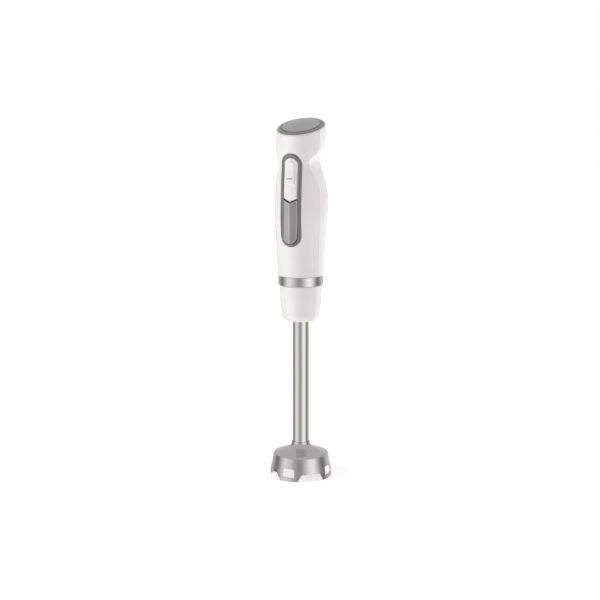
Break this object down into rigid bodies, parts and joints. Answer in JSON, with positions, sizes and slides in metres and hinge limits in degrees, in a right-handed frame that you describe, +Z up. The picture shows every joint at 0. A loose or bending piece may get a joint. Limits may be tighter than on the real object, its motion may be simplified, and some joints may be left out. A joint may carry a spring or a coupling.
{
  "type": "immersion blender",
  "caption": "Hand-held immersion blender: white motor handle with a long switch panel and a dial on its slanted top, steel band, twist-off steel shaft with a blade guard.",
  "frame": {"origin": "on the blender's axis, at the surface its four feet stand on", "axes": "+Z up along the shaft, -Y out of the switch panel, +X to the right of someone facing the panel"},
  "size_m": [0.0676, 0.0676, 0.3961],
  "materials": {
    "gloss_white": "gloss",
    "grip_white": "semi-gloss",
    "dark_grey": "satin",
    "mid_grey": "satin",
    "bright_steel": "polished",
    "satin_steel": "brushed",
    "black_plastic": "matte",
    "natural_plastic": "matte",
    "rubber": "matte",
    "copper": "satin",
    "laminations": "matte",
    "bronze": "satin",
    "carbon": "matte",
    "board_green": "satin"
  },
  "bodies": {
    "motor_unit": {"front_shell": "gloss_white", "rear_shell": "grip_white", "top_rim": "dark_grey", "panel_frame": "dark_grey", "trim_band": "bright_steel", "bayonet_socket": "black_plastic", "cord_gland": "rubber", "cord_clamp": "natural_plastic", "clamp_screw_left": "satin_steel", "clamp_screw_right": "satin_steel", "inner_chassis": "natural_plastic", "switch_board": "board_green", "on_switch": "black_plastic", "turbo_switch": "black_plastic", "board_screw_top": "satin_steel", "board_screw_bottom": "satin_steel", "speed_control": "black_plastic", "stator_core": "laminations", "field_coil_left": "copper", "field_coil_right": "copper", "lower_bracket": "natural_plastic", "upper_bracket": "natural_plastic", "lower_bearing": "satin_steel", "upper_bearing": "bronze", "motor_bolt_front": "satin_steel", "motor_bolt_rear": "satin_steel", "brush_holder_left": "bronze", "brush_holder_right": "bronze", "carbon_brush_left": "carbon", "carbon_brush_right": "carbon", "brush_spring_left": "satin_steel", "brush_spring_right": "satin_steel", "motor_mount_ring": "rubber"},
    "rotor": {"rotor_shaft": "satin_steel", "armature_core": "laminations", "armature_winding": "copper", "commutator": "copper", "cooling_fan": "natural_plastic", "motor_coupling": "black_plastic"},
    "dial": {"speed_dial": "mid_grey", "speed_control_shaft": "natural_plastic"},
    "upper_button": {"on_button": "gloss_white", "on_plunger": "natural_plastic"},
    "lower_button": {"turbo_button": "mid_grey", "turbo_plunger": "natural_plastic"},
    "lock_ring": {"lock_spring_ring": "satin_steel"},
    "foot": {"foot_collar": "gloss_white", "foot_neck": "black_plastic", "tube_seal": "rubber", "shaft_tube": "bright_steel", "upper_bush": "bronze", "blade_guard": "satin_steel", "hub_housing": "natural_plastic", "lower_bush": "bronze", "shaft_seal": "rubber"},
    "blade_drive": {"drive_shaft": "satin_steel", "driven_coupling": "black_plastic", "blade": "bright_steel", "blade_nut": "satin_steel"}
  },
  "joints": [
    {"name": "foot_twist", "type": "hinge", "parent": "motor_unit", "child": "lock_ring", "pos_m": [0, 0, 0.22], "axis": [0, 0, 1], "range_deg": [0, 30]},
    {"name": "foot_pull", "type": "slide", "parent": "lock_ring", "child": "foot", "axis": [0, 0, -1], "range_m": [0, 0.065]},
    {"name": "blade_spin", "type": "hinge", "parent": "foot", "child": "blade_drive", "pos_m": [0, 0, 0.1], "axis": [0, 0, 1], "continuous": true},
    {"name": "rotor_spin", "type": "hinge", "parent": "motor_unit", "child": "rotor", "pos_m": [0, 0, 0.27], "axis": [0, 0, 1], "continuous": true},
    {"name": "speed_dial_turn", "type": "hinge", "parent": "motor_unit", "child": "dial", "pos_m": [0, 0, 0.3877], "axis": [0, -0.2924, 0.9563], "range_deg": [-135, 135]},
    {"name": "upper_button_press", "type": "slide", "parent": "motor_unit", "child": "upper_button", "axis": [0, 1, 0], "range_m": [0, 0.0022], "stiffness_N_per_m": 800, "springref_m": -0.001},
    {"name": "lower_button_press", "type": "slide", "parent": "motor_unit", "child": "lower_button", "axis": [0, 1, 0], "range_m": [0, 0.0022], "stiffness_N_per_m": 800, "springref_m": -0.001}
  ],
  "couplings": [
    {"joint": "blade_spin", "follows": "rotor_spin", "ratio": 1}
  ]
}
